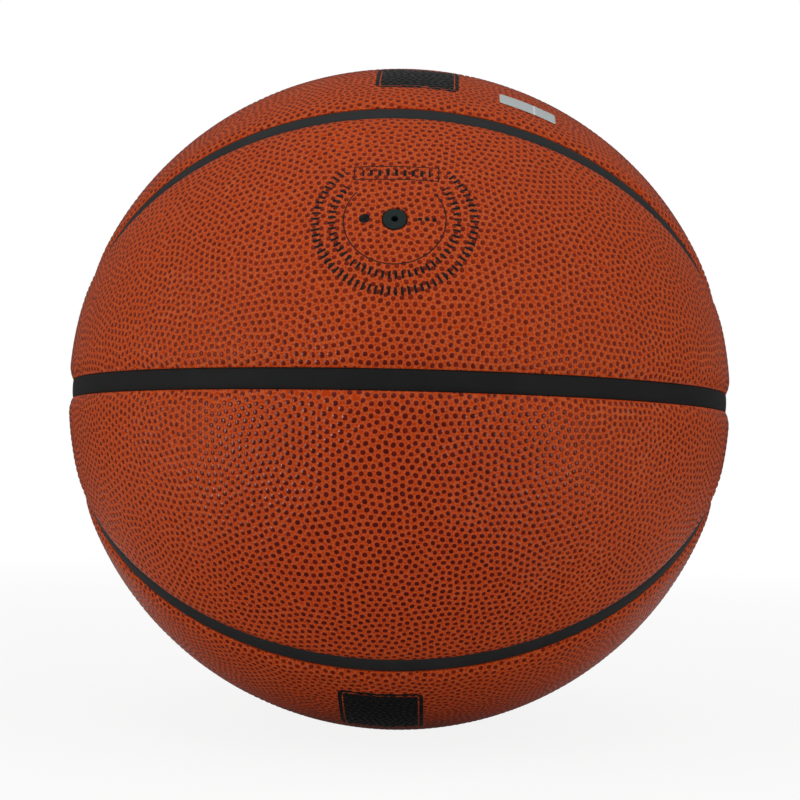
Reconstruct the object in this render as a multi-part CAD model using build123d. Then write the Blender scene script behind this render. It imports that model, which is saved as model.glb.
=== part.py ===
from build123d import *
import os
from math import asin, cos, pi, radians, sin, sqrt, tan

# A full-size indoor basketball, origin at its centre, +Z up, the valve towards -Y.
# Lengths are in millimetres, angles in degrees.

# Ball
ball_diameter = 238.5

# Wall, from the outside in
cover_thickness = 2.0
carcass_thickness = 1.6
winding_thickness = 0.7
bladder_thickness = 1.0
bond_line = 0.2

# Channels between the cover panels
channel_width = 6.8
channel_depth = 1.2
strip_side_gap = 0.1
oval_long_half_angle = 77.0
oval_short_half_angle = 41.2
oval_point_count = 48
panel_edge_radius = 1.4

# Valve
valve_elevation = 24.6
valve_lip_radius = 0.4
plug_head_diameter = 7.4
plug_head_recess = 0.4
plug_head_edge_radius = 0.4
plug_head_clearance = 0.25
plug_stem_diameter = 4.6
plug_stem_length = 12.0
plug_stem_chamfer = 0.5
stem_running_clearance = 0.05
needle_hole_diameter = 2.2
needle_hole_depth = 9.0
barrel_diameter = 11.0
barrel_length = 14.0
barrel_side_gap = 0.1
flange_diameter = 26.0
flange_thickness = 1.5

# How far a cutting shape runs past what it cuts
overrun = 5.0

# Radii that follow from the wall
cover_outer = ball_diameter / 2
cover_inner = cover_outer - cover_thickness
carcass_outer = cover_inner - bond_line
carcass_inner = carcass_outer - carcass_thickness
winding_outer = carcass_inner - bond_line
winding_inner = winding_outer - winding_thickness
bladder_outer = winding_inner - bond_line
bladder_inner = bladder_outer - bladder_thickness
strip_outer = cover_outer - channel_depth

# Half widths of the channels and of the strips laid in them
channel_half = channel_width / 2
strip_half = channel_half - strip_side_gap

# Places along the valve's axis, measured from the ball's centre
barrel_radius = barrel_diameter / 2
barrel_top = sqrt(cover_inner**2 - barrel_radius**2) - bond_line
barrel_bottom = barrel_top - barrel_length
plug_top = cover_outer - plug_head_recess
flange_outer = bladder_inner - bond_line
valve_plane = Plane(
    origin=(0, 0, 0),
    x_dir=(1, 0, 0),
    z_dir=(0, -cos(radians(valve_elevation)), sin(radians(valve_elevation))),
)


def shell(outer_radius, inner_radius):
    """A hollow sphere about the ball's centre."""
    return Sphere(outer_radius) - Sphere(inner_radius)


def oval_direction(turn, side_step):
    """Direction from the centre to a point of the upper oval, side_step (radians) outside its centre line."""
    long_reach = tan(radians(oval_long_half_angle))
    short_reach = tan(radians(oval_short_half_angle))
    on_line = Vector(long_reach * cos(turn), short_reach * sin(turn), 1)
    along = Vector(-long_reach * sin(turn), short_reach * cos(turn), 0)
    outward = along.cross(on_line).normalized()
    return on_line.normalized() * cos(side_step) + outward * sin(side_step)


def oval_cone(side_width):
    """A cone from the ball's centre through the upper oval, widened by side_width at the ball's surface."""
    side_step = asin(side_width / cover_outer)
    top_height = cover_outer + overrun
    foot_height = overrun
    directions = [oval_direction(2 * pi * i / oval_point_count, side_step) for i in range(oval_point_count)]
    wires = []
    for height in (foot_height, top_height):
        points = [d * (height / d.Z) for d in directions]
        wires.append(Wire([Edge.make_spline(points, periodic=True)]))
    return Part() + Solid.make_loft(wires, ruled=True)


def front_half(offset):
    """The half space in front of the plane y = -offset, as a large block."""
    reach = cover_outer + overrun
    return Pos(0, -offset, 0) * Box(2 * reach, reach, 2 * reach, align=(Align.CENTER, Align.MAX, Align.CENTER))


def upper_half(offset):
    """The half space above the plane z = offset, as a large block."""
    reach = cover_outer + overrun
    return Pos(0, 0, offset) * Box(2 * reach, 2 * reach, reach, align=(Align.CENTER, Align.CENTER, Align.MIN))


def slab(axis, half_width):
    """A slab about the ball's centre, across the given axis."""
    reach = 2 * (cover_outer + overrun)
    size = {"y": (reach, 2 * half_width, reach), "z": (reach, reach, 2 * half_width)}[axis]
    return Box(*size)


def along_valve(radius, low, high):
    """A cylinder on the valve's axis, between two distances from the ball's centre."""
    straight = Cylinder(radius, high - low, align=(Align.CENTER, Align.CENTER, Align.MIN))
    return valve_plane * (Pos(0, 0, low) * straight)


def roll_edges(panel):
    """The panel with its outer edges rounded over, as they roll down into the channels."""
    outer_face = panel.faces().sort_by(SortBy.AREA)[-1]
    return panel.fillet(panel_edge_radius, outer_face.edges())


def oval_panel():
    """The upper front half oval of the cover."""
    panel = shell(cover_outer, cover_inner) & oval_cone(-channel_half) & front_half(channel_half)
    return roll_edges(panel)


def band_panel():
    """The upper front band of the cover, between the oval and the middle channel."""
    quarter = shell(cover_outer, cover_inner) & front_half(channel_half) & upper_half(channel_half)
    return roll_edges(quarter - oval_cone(channel_half))


def with_valve_hole(panel):
    """The panel with the hole that the plug's head sits in, its lip eased."""
    hole_radius = plug_head_diameter / 2 + plug_head_clearance
    pierced = panel - along_valve(hole_radius, cover_inner - overrun, cover_outer + overrun)
    mouth = valve_plane.from_local_coords((0, 0, cover_outer))
    lip = pierced.edges().sort_by_distance(mouth)[0]
    return pierced.fillet(valve_lip_radius, [lip])


def oval_strip():
    """The strip in the upper front half of the oval channel."""
    ring = shell(strip_outer, cover_inner) & oval_cone(strip_half)
    return (ring & front_half(channel_half)) - oval_cone(-strip_half)


def meridian_strip():
    """The strip in the upper half of the channel that crosses the middle one."""
    return shell(strip_outer, cover_inner) & slab("y", strip_half) & upper_half(channel_half)


def wall_layer(outer_radius, inner_radius):
    """A whole layer of the wall, with the hole that the valve's barrel passes through."""
    hole = along_valve(barrel_radius + barrel_side_gap, inner_radius - overrun, outer_radius + overrun)
    return shell(outer_radius, inner_radius) - hole


def valve_housing():
    """The flange that is bonded inside the bladder, and the barrel that holds the plug."""
    flange_reach = along_valve(flange_diameter / 2, flange_outer - overrun, flange_outer + overrun)
    flange = shell(flange_outer, flange_outer - flange_thickness) & flange_reach
    bore_radius = plug_stem_diameter / 2 + stem_running_clearance
    bore = along_valve(bore_radius, barrel_bottom - overrun, barrel_top + overrun)
    return flange + along_valve(barrel_radius, barrel_bottom, barrel_top) - bore


def valve_plug():
    """The plug that is pushed into the housing, with its needle hole."""
    head = Pos(0, 0, barrel_top) * Cylinder(
        plug_head_diameter / 2, plug_top - barrel_top, align=(Align.CENTER, Align.CENTER, Align.MIN)
    )
    head = fillet(head.edges().sort_by(Axis.Z)[-1], plug_head_edge_radius)
    stem = Pos(0, 0, barrel_top) * Cylinder(
        plug_stem_diameter / 2, plug_stem_length, align=(Align.CENTER, Align.CENTER, Align.MAX)
    )
    stem = chamfer(stem.edges().sort_by(Axis.Z)[0], plug_stem_chamfer)
    hole = Pos(0, 0, plug_top - needle_hole_depth) * Cylinder(
        needle_hole_diameter / 2, needle_hole_depth + overrun, align=(Align.CENTER, Align.CENTER, Align.MIN)
    )
    return valve_plane * (head + stem - hole)


# The turns that carry an upper front piece to the other three places
places = {
    "upper_front": Rotation(0, 0, 0),
    "upper_back": Rotation(0, 0, 180),
    "lower_front": Rotation(0, 180, 0),
    "lower_back": Rotation(180, 0, 0),
}

nodes = {
    "bladder": wall_layer(bladder_outer, bladder_inner),
    "winding_layer": wall_layer(winding_outer, winding_inner),
    "carcass": wall_layer(carcass_outer, carcass_inner),
    "equator_strip": shell(strip_outer, cover_inner) & slab("z", strip_half),
    "meridian_strip_upper": meridian_strip(),
    "meridian_strip_lower": places["lower_front"] * meridian_strip(),
    "valve_housing": valve_housing(),
    "valve_plug": valve_plug(),
}
for kind, make in (("oval_panel", oval_panel), ("band_panel", band_panel), ("oval_strip", oval_strip)):
    piece = make()
    for place, turn in places.items():
        nodes[f"{kind}_{place}"] = turn * piece

nodes["band_panel_upper_front"] = with_valve_hole(nodes["band_panel_upper_front"])

os.makedirs("parts", exist_ok=True)
for name, solid in nodes.items():
    export_step(solid, f"parts/{name}.step")
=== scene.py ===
import math

import bpy
import numpy as np
from mathutils import Matrix, Vector
from mathutils.geometry import delaunay_2d_cdt
from mathutils.kdtree import KDTree


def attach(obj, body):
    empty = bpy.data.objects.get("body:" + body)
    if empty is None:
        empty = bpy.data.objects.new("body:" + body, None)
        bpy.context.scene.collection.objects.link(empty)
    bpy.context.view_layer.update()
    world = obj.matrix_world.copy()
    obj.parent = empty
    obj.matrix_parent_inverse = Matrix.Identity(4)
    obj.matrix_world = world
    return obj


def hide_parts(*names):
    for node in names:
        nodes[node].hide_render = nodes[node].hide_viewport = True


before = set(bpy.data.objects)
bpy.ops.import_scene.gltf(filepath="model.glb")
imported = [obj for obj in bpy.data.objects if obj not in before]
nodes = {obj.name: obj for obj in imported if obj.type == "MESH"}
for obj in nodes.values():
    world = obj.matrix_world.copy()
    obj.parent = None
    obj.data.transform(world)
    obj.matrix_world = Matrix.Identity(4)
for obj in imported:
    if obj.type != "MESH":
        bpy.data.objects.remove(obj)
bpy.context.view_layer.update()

# Sizes of the ball in millimetres: the meshes are worked out in them, and then scaled to metres
millimetre = 0.001
ball_radius = 119.25
cover_inner = 117.25
channel_half = 3.4
oval_long = math.tan(math.radians(77.0))
oval_short = math.tan(math.radians(41.2))
valve_elevation = math.radians(24.6)
valve_hole_radius = 3.95
valve_way = np.array((0.0, -math.cos(valve_elevation), math.sin(valve_elevation)))
right_way = np.array((1.0, 0.0, 0.0))

# Cover panels: how far and how deep they roll down to the channels and to the valve's hole
roll_reach = 5.5
roll_depth = 1.3
roll_power = 2.1
lip_reach = 0.9
lip_depth = 0.45
edge_fade = 0.9
edge_sink_share = 0.4

# Outlines: how finely lines are worked out at first, and the steps they are then cut into
oval_fineness = 6000
upright_fineness = 2000
foot_fineness = 4000
outline_step = 0.4
valve_rim_points = 40

# Distances from the upper oval: points on its front half, a little past its ends, and batches of searches
oval_line_points = 700
past_ends = 0.25
search_batches = 12

# How pebbles are spread: trial points, then rounds of pushes, with reaches given in pebble spacings
trial_count = 240000
lowest_trial = -0.02
pebbles_per_square_mm = 0.185
pebble_overlap = 3.0
search_rounds = 6
search_reach = 1.7
pushes_each_round = 7
push_reach = 1.2
push_share = 0.25
tiny_length = 1e-9

# Pebbles: radii, limits as shares of the gap to the next pebble, points on the rings, room at the edges
tip_radius = 0.7
tip_spread = 0.035
tip_limit = 0.32
shoulder_width = 0.3
shoulder_limit = 0.43
crown_share = 0.68
longest_stretch = 0.14
shoulder_stretch = 0.7
crown_points = 4
ring_points = 8
cut_room = 0.15
valley_room = 0.8
valley_off = 1.12
inner_thinning = 9

# Levels on a pebble: how deep each lies under the ball's surface, and how much it counts as raised
valley_level, top_level, crown_level, tip_level, shoulder_level = range(5)
level_sinks = np.array((0.36, 0.0, 0.018, 0.06, 0.25))
level_rises = np.array((0.0, 1.0, 1.0, 1.0, 0.35))

# Triangles are only wanted inside an outline, and points nearer than this count as one
inside_only = 1
same_spot = 1e-5

# Baked picture: the angle of one slice of a panel, and the corner that takes all hidden faces
bake_slice = 45.0
bake_corner = 0.002

# Rubber strips in the channels: half width and height of points across the upper side, and steps along
strip_foot = 3.25
strip_section = ((3.25, 117.5), (3.15, 117.64), (2.9, 117.82), (1.6, 117.93), (0.0, 117.96))
ring_steps = 720
arch_steps = 360
oval_strip_fineness = 3000
oval_strip_thinning = 8

# Blank foil label: its middle, the way along it, half sizes, corners, where its two sides lie, its grid
label_middle = np.array((0.3549, -0.4736, 0.8061))
label_along = np.array((0.934, 0.170, -0.312))
label_half_length = 10.2
label_half_width = 4.9
label_corner = 1.0
label_above = 0.04
label_below = 0.06
label_columns = 40
label_rows = 24

# Turns that carry an upper front piece to the other three places
places = {
    "upper_front": np.diag((1.0, 1.0, 1.0)),
    "upper_back": np.diag((-1.0, -1.0, 1.0)),
    "lower_front": np.diag((-1.0, 1.0, -1.0)),
    "lower_back": np.diag((1.0, -1.0, -1.0)),
}


def unit(vectors):
    """The vectors made one long."""
    return vectors / np.linalg.norm(vectors, axis=-1, keepdims=True)


def oval_line(turns):
    """Directions along the middle of the upper oval channel, and the ways out of the oval there."""
    cosines = np.cos(turns)
    sines = np.sin(turns)
    line = unit(np.stack((oval_long * cosines, oval_short * sines, np.ones_like(turns)), axis=1))
    along = np.stack((-oval_long * sines, oval_short * cosines, np.zeros_like(turns)), axis=1)
    return line, unit(np.cross(along, line))


def beside(line, sideways, width):
    """Directions beside a line, width millimetres to its side."""
    step = width / ball_radius
    return line * math.cos(step) + sideways * math.sin(step)


oval_middle, oval_outward = oval_line(np.linspace(-math.pi - past_ends, past_ends, oval_line_points))


def beyond_oval(points):
    """How far each direction lies outside the upper oval's line, in millimetres, and the way out there."""
    batches = np.array_split(points, search_batches)
    nearest = np.concatenate([np.argmax(batch @ oval_middle.T, axis=1) for batch in batches])
    outward = oval_outward[nearest]
    sideways = np.sum(points * outward, axis=1)
    along = np.sum(points * oval_middle[nearest], axis=1)
    return ball_radius * np.arctan2(sideways, along), outward


def nearest_edge(edges):
    """The smallest of the distances to several edges, and the way inwards from that edge."""
    rooms = np.stack([room for room, inward in edges])
    inwards = np.stack([np.broadcast_to(inward, (rooms.shape[1], 3)) for room, inward in edges])
    closest = rooms.argmin(axis=0)
    every = np.arange(rooms.shape[1])
    return rooms[closest, every], inwards[closest, every]


def room_in_oval(points):
    """Distance from each direction to the edge of the upper front oval panel, and the way inwards."""
    beyond, outward = beyond_oval(points)
    front = -points[:, 1] * ball_radius - channel_half
    return nearest_edge(((-beyond - channel_half, -outward), (front, (0, -1, 0))))


def room_in_band(points):
    """Distance from each direction to the edge of the upper front band panel, and the way inwards."""
    beyond, outward = beyond_oval(points)
    front = -points[:, 1] * ball_radius - channel_half
    above = points[:, 2] * ball_radius - channel_half
    return nearest_edge(((beyond - channel_half, outward), (front, (0, -1, 0)), (above, (0, 0, 1))))


def room_at_valve(points):
    """Distance from each direction to the rim of the valve's hole."""
    return ball_radius * np.arccos(np.clip(points @ valve_way, -1, 1)) - valve_hole_radius


def even_steps(points, step):
    """The open line through these directions in even steps, without its last point."""
    lengths = ball_radius * np.linalg.norm(np.diff(points, axis=0), axis=1)
    along = np.concatenate(([0.0], np.cumsum(lengths)))
    stops = np.linspace(0, along[-1], max(2, round(along[-1] / step)) + 1)[:-1]
    return unit(np.stack([np.interp(stops, along, points[:, axis]) for axis in range(3)], axis=1))


edge_sine = channel_half / ball_radius
edge_cosine = math.sqrt(1 - edge_sine**2)


def oval_edge(width):
    """The panel edge along the upper oval channel, from left to right across the front."""
    line, outward = oval_line(np.linspace(-math.pi, 0, oval_fineness))
    edge = beside(line, outward, width)
    return edge[edge[:, 1] < -edge_sine]


def front_edge(start, end):
    """The panel edge along the upright channel, between the turns of two directions."""
    turns = np.linspace(math.atan2(start[2], start[0]), math.atan2(end[2], end[0]), upright_fineness)
    across = edge_cosine * np.cos(turns)
    up = edge_cosine * np.sin(turns)
    return np.stack((across, np.full_like(turns, -edge_sine), up), axis=1)


def oval_outline():
    """The outline of the upper front oval panel."""
    rim = oval_edge(-channel_half)
    sides = (rim, front_edge(rim[-1], rim[0]))
    return np.concatenate([even_steps(side, outline_step) for side in sides])


def band_outline():
    """The outline of the upper front band panel."""
    rim = oval_edge(channel_half)[::-1]
    inset = math.asin(edge_sine / edge_cosine)
    turns = np.linspace(-math.pi + inset, -inset, foot_fineness)
    across = edge_cosine * np.cos(turns)
    back = edge_cosine * np.sin(turns)
    foot = np.stack((across, back, np.full_like(turns, edge_sine)), axis=1)
    sides = (foot, front_edge(foot[-1], rim[0]), rim, front_edge(rim[-1], foot[0]))
    return np.concatenate([even_steps(side, outline_step) for side in sides])


def valve_outline():
    """The rim of the valve's hole, clockwise seen from outside."""
    turns = np.linspace(0, -2 * math.pi, valve_rim_points + 1)[:-1]
    rise = np.cross(valve_way, right_way)
    lean = valve_hole_radius / ball_radius
    ring = np.outer(np.cos(turns), right_way) + np.outer(np.sin(turns), rise)
    return valve_way * math.cos(lean) + ring * math.sin(lean)


def search_tree(points):
    """A tree that finds the nearest of these points."""
    tree = KDTree(len(points))
    for number, point in enumerate(points.tolist()):
        tree.insert(point, number)
    tree.balance()
    return tree


def close_pairs(points, reach):
    """Pairs of points nearer than reach, in millimetres."""
    tree = search_tree(points)
    pairs = []
    for number, point in enumerate(points.tolist()):
        for spot, other, gap in tree.find_range(point, reach / ball_radius):
            if other > number:
                pairs.append((number, other))
    return np.array(pairs)


def pushed_apart(points, pairs, reach):
    """The points after one small push between each pair that is too close."""
    first, second = pairs.T
    gaps = points[first] - points[second]
    lengths = np.linalg.norm(gaps, axis=1)
    too_close = np.maximum(0, reach / ball_radius - lengths)
    pushes = gaps * (push_share * too_close / (lengths + tiny_length))[:, None]
    moved = points.copy()
    for axis in range(3):
        moved[:, axis] += np.bincount(first, pushes[:, axis], len(points))
        moved[:, axis] -= np.bincount(second, pushes[:, axis], len(points))
    return unit(moved)


def scatter_pebbles(room_in_panel, chance):
    """Directions of the pebbles, spread evenly but not in rows, and a little past the panel's edges."""
    trial = unit(chance.normal(size=(trial_count, 3)))
    share = 4 * math.pi * ball_radius**2 / len(trial)
    trial = trial[(trial[:, 1] < 0) & (trial[:, 2] > lowest_trial)]
    inside = trial[room_in_panel(trial)[0] > -pebble_overlap]
    pebbles = inside[: round(pebbles_per_square_mm * share * len(inside))]
    pitch = math.sqrt(2 / math.sqrt(3) / pebbles_per_square_mm)
    for search in range(search_rounds):
        pairs = close_pairs(pebbles, search_reach * pitch)
        for push in range(pushes_each_round):
            pebbles = pushed_apart(pebbles, pairs, push_reach * pitch)
            room, inward = room_in_panel(pebbles)
            outside = np.minimum(0, room + pebble_overlap) / ball_radius
            pebbles = unit(pebbles - inward * outside[:, None])
    return pebbles


def flat_map(points, middle):
    """Directions laid out flat about a panel's middle, so that small circles stay round."""
    rise = np.cross(middle, right_way)
    scale = 2 * ball_radius / (1 + points @ middle)
    return np.stack((scale * (points @ right_way), scale * (points @ rise)), axis=1)


def joined_up(flat, loops, lines=()):
    """Triangles between flat points, inside the first loop and outside the second, along the lines."""
    edges = list(lines)
    for loop in loops:
        edges += zip(loop, loop[1:] + loop[:1])
    corners = [Vector(spot) for spot in flat.tolist()]
    spots, sides, faces, *rest = delaunay_2d_cdt(corners, edges, [], inside_only, same_spot)
    if len(spots) != len(flat):
        raise ValueError("two points of a panel fell together")
    faces = np.array(faces)
    for hole in loops[1:]:
        faces = faces[~np.isin(faces, hole).all(axis=1)]
    a, b, c = (flat[faces[:, corner]] for corner in range(3))
    turn = (b[:, 0] - a[:, 0]) * (c[:, 1] - a[:, 1]) - (b[:, 1] - a[:, 1]) * (c[:, 0] - a[:, 0])
    faces[turn < 0] = faces[turn < 0][:, ::-1]
    return faces


def wall_between(upper, lower):
    """Triangles of the wall from an outline down to the one under it."""
    nexts = np.roll(np.arange(len(upper)), -1)
    return np.concatenate((
        np.stack((upper, lower, lower[nexts]), axis=1),
        np.stack((upper, lower[nexts], upper[nexts]), axis=1),
    ))


def pebble_rings(pebbles, radii, count, lean, stretch, shift):
    """Rings of directions about the pebbles, each a little longer along its own lean, turned by a shift."""
    slant = np.array((0.3, 0.2, 1.0))
    right = unit(np.cross(slant, pebbles))
    rise = np.cross(pebbles, right)
    turns = (np.arange(count) + shift) * 2 * math.pi / count
    spokes = np.cos(turns)[None, :, None] * right[:, None] + np.sin(turns)[None, :, None] * rise[:, None]
    reach = radii[:, None] * (1 + stretch[:, None] * np.cos(2 * (turns[None, :] - lean[:, None])))
    return unit(pebbles[:, None] + spokes * (reach / ball_radius)[:, :, None]).reshape(-1, 3)


def nearest_pebbles(pebbles, points, order):
    """The nearest pebble to each point, or the next nearest by order, and its distance in millimetres."""
    tree = search_tree(pebbles)
    found = [tree.find_n(point, order + 1)[order] for point in points.tolist()]
    numbers = np.array([number for spot, number, gap in found])
    return numbers, ball_radius * np.array([gap for spot, number, gap in found])


def bake_places(points, faces, skin_count, middle):
    """Flat places of the faces' corners for baking: the skin in four slices, the rest in a corner."""
    rise = np.cross(middle, right_way)
    spots = np.full((len(faces), 3, 2), bake_corner)
    skin = points[faces[:skin_count]]
    heart = skin.mean(axis=1)
    turns = np.degrees(np.arctan2(heart @ right_way, heart @ middle))
    slices = np.clip(np.floor(turns / bake_slice) + 2, 0, 3).astype(int)
    for number in range(4):
        turn = math.radians(bake_slice * (number - 1.5))
        outward = right_way * math.sin(turn) + middle * math.cos(turn)
        sideways = right_way * math.cos(turn) - middle * math.sin(turn)
        corners = skin[slices == number]
        scale = np.sqrt(2 / (1 + corners @ outward)) * 0.5
        cell = np.array((0.25 + 0.5 * (number % 2), 0.25 + 0.5 * (number // 2)))
        flat = np.stack((corners @ sideways, corners @ rise), axis=2) * scale[:, :, None]
        spots[:skin_count][slices == number] = cell + flat
    return spots


def new_piece(name, points, faces, smooth, body):
    """A mesh object of points in millimetres, which rides on a body."""
    mesh = bpy.data.meshes.new(name)
    mesh.from_pydata((points * millimetre).tolist(), [], faces.tolist())
    mesh.polygons.foreach_set("use_smooth", smooth)
    mesh.update()
    piece = bpy.data.objects.new(name, mesh)
    bpy.context.scene.collection.objects.link(piece)
    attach(piece, body)
    return piece


# For each kind of panel: the room to its edges, its outline, and how far up its middle lies
panel_kinds = {
    "oval_panel": (room_in_oval, oval_outline, math.radians(69.0)),
    "band_panel": (room_in_band, band_outline, math.radians(25.0)),
}


def make_panel(kind, place, seed):
    """A cover panel with its pebbles, rolled down at its edges and closed underneath."""
    chance = np.random.default_rng(seed)
    pierced = kind == "band_panel" and place == "upper_front"
    room_in_panel, panel_outline, tilt = panel_kinds[kind]
    middle = np.array((0.0, -math.cos(tilt), math.sin(tilt)))
    outlines = [panel_outline()]
    if pierced:
        outlines.append(valve_outline())
    rim = np.concatenate(outlines)
    loops = []
    for outline in outlines:
        start = sum(len(loop) for loop in loops)
        loops.append(list(range(start, start + len(outline))))

    def room_left(points):
        room = room_in_panel(points)[0]
        return np.minimum(room, room_at_valve(points)) if pierced else room

    # The pebbles, each with its own size, lean and tone
    pebbles = scatter_pebbles(room_in_panel, chance)
    gaps = nearest_pebbles(pebbles, pebbles, 1)[1]
    tips = np.minimum(tip_radius + tip_spread * chance.normal(size=len(pebbles)), tip_limit * gaps)
    shoulders = np.minimum(tips + shoulder_width, shoulder_limit * gaps)
    lean = chance.random(len(pebbles)) * math.pi
    stretch = chance.random(len(pebbles)) * longest_stretch
    tone = chance.random(len(pebbles))

    # Points of the skin: the rim, the pebbles' tops and rings, and the valleys between them
    owners, off = nearest_pebbles(pebbles, rim, 0)
    rim_level = np.where(off < shoulders[owners], shoulder_level, valley_level)
    rim_level = np.where(off < tips[owners], tip_level, rim_level)
    middles = np.flatnonzero(room_left(pebbles) > cut_room)
    sparse = np.concatenate((rim, pebbles[middles]))
    valleys = unit(sparse[joined_up(flat_map(sparse, middle), loops)].mean(axis=1))
    off_pebbles = nearest_pebbles(pebbles, valleys, 0)[1]
    valleys = valleys[(room_left(valleys) > valley_room) & (off_pebbles > valley_off)]
    rings = (
        pebble_rings(pebbles, tips * crown_share, crown_points, lean, stretch, shift=0.25),
        pebble_rings(pebbles, tips, ring_points, lean, stretch, shift=0.0),
        pebble_rings(pebbles, shoulders, ring_points, lean, stretch * shoulder_stretch, shift=0.5),
    )
    kept = [np.flatnonzero(room_left(ring) > cut_room) for ring in rings]
    inside = [ring[numbers] for ring, numbers in zip(rings, kept)]
    skin = np.concatenate((rim, pebbles[middles], *inside, valleys))

    # How deep each point lies, and its tone
    counts = (len(middles), *(len(numbers) for numbers in kept), len(valleys))
    order = (top_level, crown_level, tip_level, shoulder_level, valley_level)
    level = np.concatenate((rim_level, np.repeat(order, counts)))
    tones = [tone[owners], tone[middles]]
    tones += [tone[numbers // (len(ring) // len(pebbles))] for ring, numbers in zip(rings, kept)]
    tones = np.concatenate((*tones, np.full(len(valleys), 0.5)))
    room = np.maximum(0, room_in_panel(skin)[0])
    drop = roll_depth * np.maximum(0, 1 - room / roll_reach) ** roll_power
    if pierced:
        lip_room = np.maximum(0, room_at_valve(skin))
        drop = np.maximum(drop, lip_depth * np.maximum(0, 1 - lip_room / lip_reach) ** 2)
    fade = np.clip(room / edge_fade, 0, 1)
    sinks = level_sinks[level] * (edge_sink_share + (1 - edge_sink_share) * fade)

    # Faces: the skin follows the shoulder rings, and walls and a plain inside close the panel
    numbers = np.full(len(rings[2]), -1)
    numbers[kept[2]] = np.arange(len(kept[2])) + len(skin) - len(valleys) - len(kept[2])
    numbers = numbers.reshape(-1, ring_points)
    lines = np.stack((numbers, np.roll(numbers, -1, axis=1)), axis=2).reshape(-1, 2)
    skin_faces = joined_up(flat_map(skin, middle), loops, lines[(lines >= 0).all(axis=1)].tolist())
    inner = np.concatenate((rim, pebbles[middles[::inner_thinning]]))
    inner_faces = joined_up(flat_map(inner, middle), loops)[:, ::-1] + len(skin)
    walls = [wall_between(np.array(loop), np.array(loop) + len(skin)) for loop in loops]
    faces = np.concatenate([skin_faces, *walls, inner_faces])
    directions = np.concatenate((skin, inner))
    heights = np.concatenate((ball_radius - drop - sinks, np.full(len(inner), cover_inner)))
    points = (directions * heights[:, None]) @ places[place].T
    smooth = np.zeros(len(faces), bool)
    smooth[: len(skin_faces)] = True
    smooth[-len(inner_faces):] = True

    piece = new_piece(f"{kind}_{place}_cover", points, faces, smooth, "ball")
    layer = piece.data.uv_layers.new(name="OFBake")
    layer.uv.foreach_set("vector", bake_places(directions, faces, len(skin_faces), middle).ravel())
    for name, values in (("rise", level_rises[level]), ("tone", tones)):
        attribute = piece.data.attributes.new(name, "FLOAT", "POINT")
        attribute.data.foreach_set("value", np.concatenate((values, np.zeros(len(inner)))))
    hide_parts(f"{kind}_{place}")
    return piece


def make_strip(name, line, sideways, turn, closed):
    """A rubber strip laid along a line of directions, crowned across its width."""
    left = [(-width, height) for width, height in strip_section]
    section = [(-strip_foot, cover_inner), *left, *strip_section[-2::-1], (strip_foot, cover_inner)]
    rows = np.stack([beside(line, sideways, width) * height for width, height in section], axis=1)
    across = len(section)
    steps = len(line) if closed else len(line) - 1
    faces = []
    for step in range(steps):
        here = step * across
        there = (step + 1) % len(line) * across
        for spot in range(across):
            nearby = (spot + 1) % across
            faces.append((here + spot, here + nearby, there + nearby))
            faces.append((here + spot, there + nearby, there + spot))
    sides = len(faces)
    if not closed:
        last = (len(line) - 1) * across
        for spot in range(1, across - 1):
            faces.append((0, spot + 1, spot))
            faces.append((last, last + spot, last + spot + 1))
    faces = np.array(faces)
    points = rows.reshape(-1, 3) @ turn.T
    piece = new_piece(f"{name}_rubber", points, faces, np.arange(len(faces)) < sides, "ball")
    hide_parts(name)
    return piece


def make_label():
    """A thin blank foil label that lies on the pebbles."""
    outward = unit(label_middle)
    across = unit(np.cross(outward, label_along))
    along = np.cross(across, outward)
    spots = []
    for row in np.linspace(-1, 1, label_rows + 1):
        for column in np.linspace(-1, 1, label_columns + 1):
            length = column * label_half_length
            width = row * label_half_width
            past_length = abs(length) - (label_half_length - label_corner)
            past_width = abs(width) - (label_half_width - label_corner)
            if past_length > 0 and past_width > 0:
                ease = max(past_length, past_width) / math.hypot(past_length, past_width)
                length = math.copysign(label_half_length - label_corner + past_length * ease, length)
                width = math.copysign(label_half_width - label_corner + past_width * ease, width)
            spots.append(unit(outward + (along * length + across * width) / ball_radius))
    spots = np.array(spots)
    grid = np.arange(len(spots)).reshape(label_rows + 1, label_columns + 1)
    a, b, c, d = (part.ravel() for part in (grid[:-1, :-1], grid[:-1, 1:], grid[1:, 1:], grid[1:, :-1]))
    top = np.concatenate((np.stack((a, b, c), 1), np.stack((a, c, d), 1)))
    rim = np.concatenate((grid[0, :-1], grid[:-1, -1], grid[-1, :0:-1], grid[:0:-1, 0]))
    faces = np.concatenate((top, wall_between(rim, rim + len(spots)), top[:, ::-1] + len(spots)))
    points = np.concatenate((spots * (ball_radius + label_above), spots * (ball_radius - label_below)))
    piece = new_piece("foil_label", points, faces, np.ones(len(faces), bool), "ball")
    return piece


def srgb(red, green, blue):
    """A colour given as screen values from 0 to 255."""
    parts = [value / 255 for value in (red, green, blue)]
    return tuple(v / 12.92 if v <= 0.04045 else ((v + 0.055) / 1.055) ** 2.4 for v in parts) + (1.0,)


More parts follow.
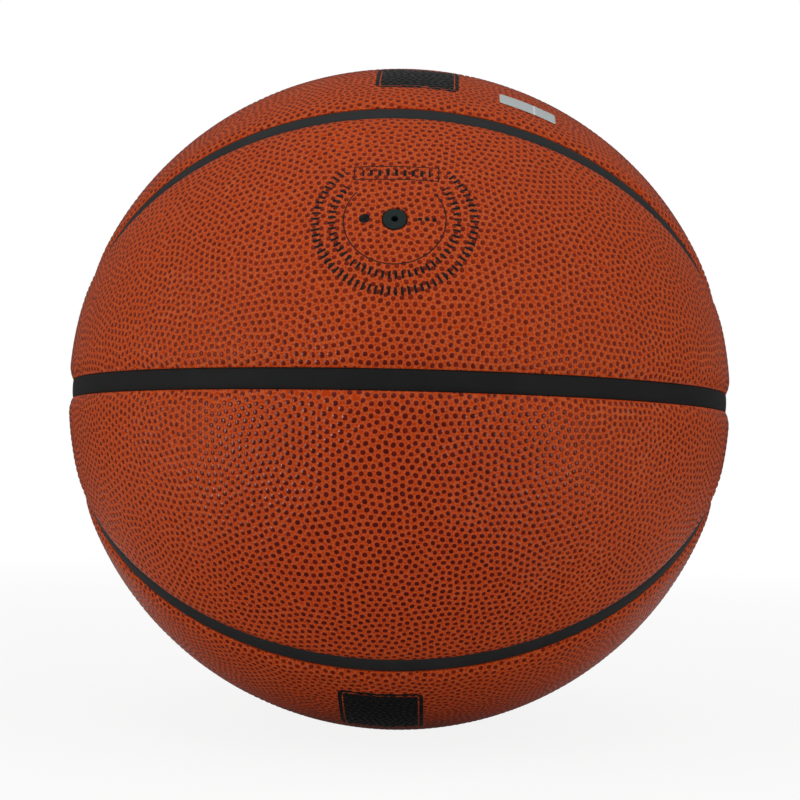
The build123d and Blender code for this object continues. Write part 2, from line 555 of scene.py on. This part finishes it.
class Shade:
    """A socket of a node tree, so that shading is written as sums of values."""

    def __init__(self, tree, socket=None):
        self.tree = tree
        self.socket = socket

    def node(self, kind, settings=None, sockets=None, output=0):
        """A new node with its settings and the values or links of its sockets."""
        made = self.tree.nodes.new(kind)
        for name, value in (settings or {}).items():
            setattr(made, name, value)
        for name, value in (sockets or {}).items():
            if isinstance(value, Shade):
                self.tree.links.new(value.socket, made.inputs[name])
            else:
                made.inputs[name].default_value = value
        return Shade(self.tree, made.outputs[output] if made.outputs else None)

    def maths(self, operation, *values):
        """A maths node on these values."""
        return self.node("ShaderNodeMath", {"operation": operation}, dict(enumerate(values)))

    def __add__(self, other):
        return self.maths("ADD", self, other)

    def __sub__(self, other):
        return self.maths("SUBTRACT", self, other)

    def __rsub__(self, other):
        return self.maths("SUBTRACT", other, self)

    def __mul__(self, other):
        return self.maths("MULTIPLY", self, other)

    def __truediv__(self, other):
        return self.maths("DIVIDE", self, other)

    def __pow__(self, other):
        return self.maths("POWER", self, other)

    def __abs__(self):
        return self.maths("ABSOLUTE", self)

    __radd__ = __add__
    __rmul__ = __mul__

    def above(self, low, high):
        """0 below low, 1 above high, and smooth between."""
        sockets = {"Value": self, "From Min": low, "From Max": high}
        return self.node("ShaderNodeMapRange", {"interpolation_type": "SMOOTHSTEP"}, sockets)

    def near(self, middle, half_width, soft):
        """1 where the value is within half_width of middle, with soft borders."""
        return 1 - abs(self - middle).above(half_width - soft, half_width + soft)

    def most(self, other):
        """The larger of two values."""
        return self.maths("MAXIMUM", self, other)

    def colour(self, low, high):
        """A colour between two, by this value."""
        colour_a, colour_b, colour_result = 6, 7, 2
        sockets = {0: self, colour_a: low, colour_b: high}
        return self.node("ShaderNodeMix", {"data_type": "RGBA"}, sockets, colour_result)


def new_finish(name):
    """An empty material and the start of its shading."""
    material = bpy.data.materials.new(name)
    material.use_nodes = True
    material.node_tree.nodes.clear()
    return material, Shade(material.node_tree)


def finished(shade, sockets):
    """Ends a material's shading with a surface of these sockets."""
    surface = shade.node("ShaderNodeBsdfPrincipled", {}, sockets)
    shade.node("ShaderNodeOutputMaterial", {}, {"Surface": surface})


def place_on_ball(shade):
    """Where a point lies, in millimetres, as a vector and as its three parts."""
    spot = shade.node("ShaderNodeTexCoord", output="Object")
    spot = shade.node("ShaderNodeVectorMath", {"operation": "SCALE"}, {0: spot, "Scale": 1 / millimetre})
    split = [shade.node("ShaderNodeSeparateXYZ", {}, {0: spot}, part) for part in range(3)]
    return spot, split


def grain(shade, spot, scale, detail):
    """Cloudy variation about 1 / scale millimetres wide."""
    return shade.node("ShaderNodeTexNoise", {}, {"Vector": spot, "Scale": scale, "Detail": detail})


def valve_marks(shade, split):
    """Plain ring, box and tick marks printed round the valve, in millimetres from its middle."""
    x, y, z = split
    rise = y * math.sin(valve_elevation) + z * math.cos(valve_elevation)
    reach = (x * x + rise * rise) ** 0.5
    turn = shade.maths("ARCTAN2", x, rise)
    side = abs(turn)
    line_half, line_soft = 0.2, 0.12
    end_soft, beat_soft, turn_soft = 0.1, 0.05, 0.01
    ring_radius, ring_start = 15.6, 0.86
    ring = reach.near(ring_radius, line_half, line_soft) * side.above(ring_start, ring_start + turn_soft)

    # Two rings of ticks: middle radius, half length, count round the ring, and the turn they start from
    whole_turns, tick_half, long_part = 10, 0.22, 0.083
    short_share = 0.86
    ticks = 0.0
    for middle, half_length, count, start in ((19.2, 1.4, 60, 0.88), (24.3, 1.5, 76, 0.70)):
        beat = shade.maths("FRACT", turn * (count / (2 * math.pi)) + whole_turns)
        long_beat = shade.maths("FRACT", turn * (count / (12 * math.pi)) + (whole_turns + long_part))
        is_long = long_beat.near(long_part, long_part, turn_soft)
        length = half_length * (short_share + (1 - short_share) * is_long)
        ends = 1 - (abs(reach - middle) - length).above(-end_soft, end_soft)
        ticks = ticks + ends * beat.near(0.5, tick_half, beat_soft) * side.above(start, start + turn_soft)

    # A thin frame above the valve with bars in it
    box_rise, box_half_wide, box_half_high = 17.7, 13.0, 2.7
    bar_step, bar_half, bars_half_wide, bars_half_high = 2.6, 0.2, 10.6, 1.3
    wide = abs(x) - box_half_wide
    high = abs(rise - box_rise) - box_half_high
    frame_line = wide.most(high).near(0.0, line_half, line_soft)
    bars = shade.maths("FRACT", x / bar_step + (whole_turns + 0.5)).near(0.5, bar_half, beat_soft)
    bars = bars * abs(x).near(0, bars_half_wide, end_soft)
    bars = bars * (rise - box_rise).near(0, bars_half_high, end_soft)

    # A dot to the left of the valve and a row of dashes to its right
    dot_left, dot_radius = 9.2, 1.7
    dash_step, dash_half, dashes_right, dashes_half_wide, dashes_half_high = 2.2, 0.3, 9.9, 3.3, 0.55
    dot = (((x + dot_left) ** 2 + rise * rise) ** 0.5).near(0, dot_radius, line_soft)
    dashes = shade.maths("FRACT", x / dash_step).near(0.5, dash_half, beat_soft)
    dashes = dashes * (x - dashes_right).near(0, dashes_half_wide, end_soft)
    dashes = dashes * rise.near(0, dashes_half_high, end_soft)
    return ring.most(ticks).most(frame_line).most(bars).most(dot).most(dashes)


def badge(split, x_middle, y_middle, half_wide, half_high):
    """A plain dark patch with rounded corners and a thin line inside its border."""
    x, y, z = split
    corner, line_inset, line_half, soft = 3.0, 1.5, 0.2, 0.1
    wide = (abs(x - x_middle) - (half_wide - corner)).most(0.0)
    high = (abs(y - y_middle) - (half_high - corner)).most(0.0)
    border = (wide * wide + high * high) ** 0.5 - corner
    return (1 - border.above(-soft, soft)) * (1 - border.near(-line_inset, line_half, soft))


def top_marks(shade, split):
    """The patch on the upper front oval panel."""
    return badge(split, x_middle=5.0, y_middle=-49.0, half_wide=14.0, half_high=14.5)


def low_marks(shade, split):
    """The patch on the lower front oval panel."""
    return badge(split, x_middle=-2.4, y_middle=-49.0, half_wide=14.0, half_high=17.0)


def pebbled_cover(name, marks):
    """Composite leather: orange ground, dark half gloss tips and marks, with painted light: pale shoulders,
    paler tips off the lower front.
    """
    material, shade = new_finish(name)
    spot, split = place_on_ball(shade)
    rise = shade.node("ShaderNodeAttribute", {"attribute_name": "rise"}, output="Fac")
    tone = shade.node("ShaderNodeAttribute", {"attribute_name": "tone"}, output="Fac")
    cloud = grain(shade, spot, 0.03, 2.0)
    fine = grain(shade, spot, 1.6, 3.0)
    ground = fine.above(0.3, 0.7).colour(srgb(172, 48, 4), srgb(190, 64, 11))
    ground = cloud.above(0.35, 0.65).colour(ground, srgb(181, 56, 7))
    x, y, z = split
    # Painted light, not wear: away from the lower front the tips and shoulders are painted paler and the
    # tips get less gloss
    front_y, front_z = 0.93, 0.37
    off_front_reach, front_reach = 0.82 * ball_radius, 0.98 * ball_radius
    off_front = 1 - abs(y * front_y + z * front_z).above(off_front_reach, front_reach)
    # Painted highlight: the shoulder ring round each tip is painted paler and pinker than the ground
    shoulder = fine.above(0.3, 0.7).colour(srgb(183, 71, 30), srgb(196, 85, 43))
    shoulder = off_front.colour(shoulder, srgb(193, 86, 43))
    ground = rise.above(0.12, 0.36).colour(ground, shoulder)
    front_tip = tone.colour(srgb(86, 12, 2), srgb(110, 20, 4))
    # Tips painted paler away from the lower front: painted light
    painted_pale_tip = tone.colour(srgb(110, 26, 5), srgb(134, 35, 9))
    tip = off_front.colour(front_tip, painted_pale_tip)
    tipped = rise.above(0.52, 0.8)
    colour = tipped.colour(ground, tip)
    if marks:
        ink = marks(shade, split)
        colour = ink.colour(colour, srgb(30, 30, 30))
    bump = shade.node("ShaderNodeBump", {}, {"Strength": 0.35, "Distance": 0.0001, "Height": fine})
    finished(shade, {
        "Base Color": colour,
        "Roughness": 0.4 - tipped * 0.08 + fine * 0.06,
        "Specular IOR Level": 0.05,
        "Coat Weight": tipped * (0.95 - off_front * off_front * 0.6),
        "Coat Roughness": 0.11,
        "Coat IOR": 1.8,
        "Normal": bump,
    })
    return material


def channel_rubber():
    """Matt black rubber with a faint moulded grain, painted a little paler away from the middle channel as
    painted sheen.
    """
    material, shade = new_finish("channel_rubber")
    spot, split = place_on_ball(shade)
    fine = grain(shade, spot, 2.2, 4.0)
    cloud = grain(shade, spot, 0.08, 3.0)
    mottled = (fine * 0.6 + cloud * 0.4).above(0.3, 0.7)
    # Painted sheen: the rubber is painted paler further above and below the middle channel
    painted_sheen = abs(split[2]).above(15.0, 75.0)
    black = mottled.colour(srgb(18, 19, 19), srgb(26, 27, 27))
    paler = mottled.colour(srgb(34, 36, 37), srgb(42, 44, 45))
    colour = painted_sheen.colour(black, paler)
    bump = shade.node("ShaderNodeBump", {}, {"Strength": 0.4, "Distance": 0.0001, "Height": fine})
    finished(shade, {
        "Base Color": colour,
        "Roughness": 0.65 + fine * 0.2,
        "Specular IOR Level": 0.5,
        "Normal": bump,
    })
    return material


def blank_foil():
    """Silvery foil, brushed a little, with a pale line across it."""
    material, shade = new_finish("blank_foil")
    spot, split = place_on_ball(shade)
    fine = grain(shade, spot, 3.0, 3.0)
    across = unit(np.cross(label_middle, label_along))
    along = np.cross(across, unit(label_middle))
    reach = split[0] * float(along[0]) + split[1] * float(along[1]) + split[2] * float(along[2])
    line = reach.near(2.2, 0.35, 0.15)
    colour = fine.above(0.3, 0.7).colour(srgb(206, 214, 214), srgb(218, 225, 225))
    finished(shade, {
        "Base Color": line.colour(colour, srgb(236, 240, 240)),
        "Metallic": 0.35 - line * 0.2,
        "Roughness": 0.32 + fine * 0.12,
    })
    return material


def plain_rubber(name, low, high, scale, roughness):
    """Moulded rubber with a soft mottling."""
    material, shade = new_finish(name)
    spot, split = place_on_ball(shade)
    fine = grain(shade, spot, scale, 4.0)
    bump = shade.node("ShaderNodeBump", {}, {"Strength": 0.3, "Distance": 0.0001, "Height": fine})
    finished(shade, {
        "Base Color": fine.above(0.3, 0.7).colour(low, high),
        "Roughness": roughness + fine * 0.15,
        "Specular IOR Level": 0.18,
        "Normal": bump,
    })
    return material


def wound_thread():
    """Pale thread wound many times round the bladder."""
    material, shade = new_finish("wound_thread")
    spot, (x, y, z) = place_on_ball(shade)
    strands = 0.0
    for a, b, c in ((1.0, 0.2, 0.1), (-0.3, 0.9, 0.4), (0.2, -0.5, 1.0)):
        strands = shade.maths("SINE", (x * a + y * b + z * c) * 7.0).most(strands)
    bump = shade.node("ShaderNodeBump", {}, {"Strength": 0.6, "Distance": 0.0002, "Height": strands})
    finished(shade, {
        "Base Color": strands.above(0.0, 0.8).colour(srgb(150, 140, 118), srgb(226, 220, 204)),
        "Roughness": 0.75,
        "Normal": bump,
    })
    return material


def new_lamp(name, spot, wide, high, watts, glints):
    """A soft lamp that points at the ball, and shows in its gloss or not."""
    lamp = bpy.data.lights.new(name, "AREA")
    lamp.shape = "RECTANGLE"
    lamp.size = wide
    lamp.size_y = high
    lamp.energy = watts
    holder = bpy.data.objects.new(name, lamp)
    holder.location = spot
    holder.rotation_euler = (-Vector(spot)).to_track_quat("-Z", "Y").to_euler()
    holder.visible_glossy = glints
    bpy.context.scene.collection.objects.link(holder)


def kinds_of_ray(shade):
    """Which rays come from the camera, from a gloss, and through something clear."""
    kinds = ("Is Camera Ray", "Is Glossy Ray", "Is Transmission Ray")
    return [shade.node("ShaderNodeLightPath", output=kind) for kind in kinds]


def mixed(shade, share, first, second):
    """The first shader, which gives way to the second by share."""
    return shade.node("ShaderNodeMixShader", {}, {0: share, 1: first, 2: second})


def light_world():
    """Soft light from all round but the front, with plain white wherever it is looked at."""
    world = bpy.data.worlds.new("studio")
    bpy.context.scene.world = world
    world.use_nodes = True
    world.node_tree.nodes.clear()
    shade = Shade(world.node_tree)
    way = shade.node("ShaderNodeTexCoord", output="Generated")
    depth = shade.node("ShaderNodeSeparateXYZ", {}, {0: way}, "Y")
    around = depth.above(-0.9, -0.4)
    behind = depth.above(0.2, 0.8)
    camera, mirrored, through = kinds_of_ray(shade)
    faint, soft, white = (
        shade.node("ShaderNodeBackground", {}, {"Color": (1, 1, 1, 1), "Strength": strength})
        for strength in (0.045, 0.2, 1.0)
    )
    soft = mixed(shade, around, faint, soft)
    white_in_gloss = mirrored * behind * 0.1
    both = mixed(shade, camera.most(through).most(white_in_gloss), soft, white)
    shade.node("ShaderNodeOutputWorld", {}, {"Surface": both})


def make_floor():
    """A pale floor under the ball, which keeps its shadow and is white further off."""
    reach = 6.0
    height = -ball_radius * millimetre
    mesh = bpy.data.meshes.new("floor")
    corners = [(x * reach, y * reach, height) for x, y in ((-1, -1), (1, -1), (1, 1), (-1, 1))]
    mesh.from_pydata(corners, [], [(0, 1, 2, 3)])
    floor = bpy.data.objects.new("floor", mesh)
    bpy.context.scene.collection.objects.link(floor)
    material, shade = new_finish("floor_paper")
    spot, (x, y, z) = place_on_ball(shade)
    away = (x * x + y * y) ** 0.5
    far = away.above(200.0, 1300.0)
    camera, mirrored, through = kinds_of_ray(shade)
    paper = shade.node("ShaderNodeBsdfDiffuse", {}, {"Color": (0.9, 0.9, 0.9, 1)})
    white, dim = (
        shade.node("ShaderNodeEmission", {}, {"Color": (1, 1, 1, 1), "Strength": strength})
        for strength in (1.0, 0.03)
    )
    near_white = 0.88
    share = (camera * (near_white + far * (1 - near_white))).most(far * through)
    seen = mixed(shade, share, paper, white)

    # Painted reflection: in the ball's gloss the floor glows, bright behind the ball and dark in front and
    # further off
    gloss_glow = y.above(-60.0, 120.0) * (1 - away.above(250.0, 600.0)) * 0.85
    both = mixed(shade, mirrored, seen, mixed(shade, gloss_glow, dim, white))
    shade.node("ShaderNodeOutputMaterial", {}, {"Surface": both})
    mesh.materials.append(material)


def make_camera():
    """The camera where the photograph was taken from."""
    spot = Vector((0.1242, -4.9925, -0.2444)) * ball_radius * millimetre
    pixels_wide, pixels_focal, pixels_right, pixels_down = 800, 1620.0, 0.64, 0.67
    forward = -spot.normalized()
    right = forward.cross(Vector((0, 0, 1))).normalized()
    rise = right.cross(forward)
    roll = math.radians(1.323)
    rolled_right = right * math.cos(roll) + rise * math.sin(roll)
    rise = rise * math.cos(roll) - right * math.sin(roll)
    off_middle = rolled_right * pixels_right - rise * pixels_down
    aim = forward * spot.length + off_middle * spot.length / pixels_focal
    forward = aim.normalized()
    right = forward.cross(rise).normalized()
    rise = right.cross(forward)
    camera = bpy.data.cameras.new("camera")
    camera.sensor_width = 36.0
    camera.lens = pixels_focal * camera.sensor_width / pixels_wide
    camera.clip_start = 0.01
    holder = bpy.data.objects.new("camera", camera)
    turn = Matrix((right, rise, -forward)).transposed().to_4x4()
    holder.matrix_world = Matrix.Translation(spot) @ turn
    bpy.context.scene.collection.objects.link(holder)
    bpy.context.scene.camera = holder


def dress(piece, material):
    """Gives a piece one material."""
    piece.data.materials.clear()
    piece.data.materials.append(material)


make_camera()

plain_cover = pebbled_cover("pebbled_cover", None)
printed = {
    ("band_panel", "upper_front"): pebbled_cover("pebbled_cover_valve", valve_marks),
    ("oval_panel", "upper_front"): pebbled_cover("pebbled_cover_top", top_marks),
    ("oval_panel", "lower_front"): pebbled_cover("pebbled_cover_low", low_marks),
}
for number, place in enumerate(places):
    for seed, kind in enumerate(("oval_panel", "band_panel")):
        panel = make_panel(kind, place, 100 * number + seed)
        dress(panel, printed.get((kind, place), plain_cover))

dress(make_label(), blank_foil())

rubber = channel_rubber()
round_turns = np.linspace(0, 2 * math.pi, ring_steps + 1)[:-1]
flat_ring = np.stack((np.cos(round_turns), np.sin(round_turns), np.zeros_like(round_turns)), axis=1)
down_way = np.array((0.0, 0.0, -1.0))
strips = [make_strip("equator_strip", flat_ring, down_way, places["upper_front"], closed=True)]
end_turn = math.asin(edge_sine)
arch_turns = np.linspace(end_turn, math.pi - end_turn, arch_steps + 1)
arch = np.stack((np.cos(arch_turns), np.zeros_like(arch_turns), np.sin(arch_turns)), axis=1)
back_way = np.array((0.0, 1.0, 0.0))
for place, name in (("upper_front", "meridian_strip_upper"), ("lower_front", "meridian_strip_lower")):
    strips.append(make_strip(name, arch, back_way, places[place], closed=False))
half_line, half_outward = oval_line(np.linspace(-math.pi, 0, oval_strip_fineness))
in_front = half_line[:, 1] < -edge_sine
half_line = half_line[in_front][::oval_strip_thinning]
half_outward = half_outward[in_front][::oval_strip_thinning]
for place, turn in places.items():
    strips.append(make_strip(f"oval_strip_{place}", half_line, half_outward, turn, closed=False))
for strip in strips:
    dress(strip, rubber)

for name, finish, low, high, scale, roughness in (
    ("valve_plug", "valve_rubber", srgb(30, 41, 40), srgb(38, 50, 48), 1.5, 0.5),
    ("valve_housing", "housing_rubber", srgb(26, 26, 26), srgb(38, 38, 38), 1.5, 0.55),
    ("carcass", "sponge_rubber", srgb(62, 56, 52), srgb(88, 80, 74), 1.0, 0.8),
    ("bladder", "butyl_rubber", srgb(30, 30, 30), srgb(44, 44, 44), 0.4, 0.45),
):
    dress(nodes[name], plain_rubber(finish, low, high, scale, roughness))
dress(nodes["winding_layer"], wound_thread())

light_world()
make_floor()

# Lamps: place, width and height in metres, then watts
new_lamp("overhead", (0.0, -0.55, 1.05), 2.6, 1.6, 15.2, glints=False)
new_lamp("front_fill", (0.0, -1.4, 0.06), 1.6, 0.3, 1.8, glints=False)
new_lamp("left_box", (-0.83, -0.64, 0.03), 0.12, 0.26, 1.15, glints=True)
new_lamp("right_box", (0.8, -0.67, 0.01), 0.1, 0.2, 0.6, glints=True)
new_lamp("low_left_box", (-0.26, -0.2, -0.095), 0.045, 0.04, 0.03, glints=True)
new_lamp("low_right_box", (0.26, -0.2, -0.095), 0.045, 0.04, 0.03, glints=True)

bpy.context.scene.view_settings.view_transform = "Standard"
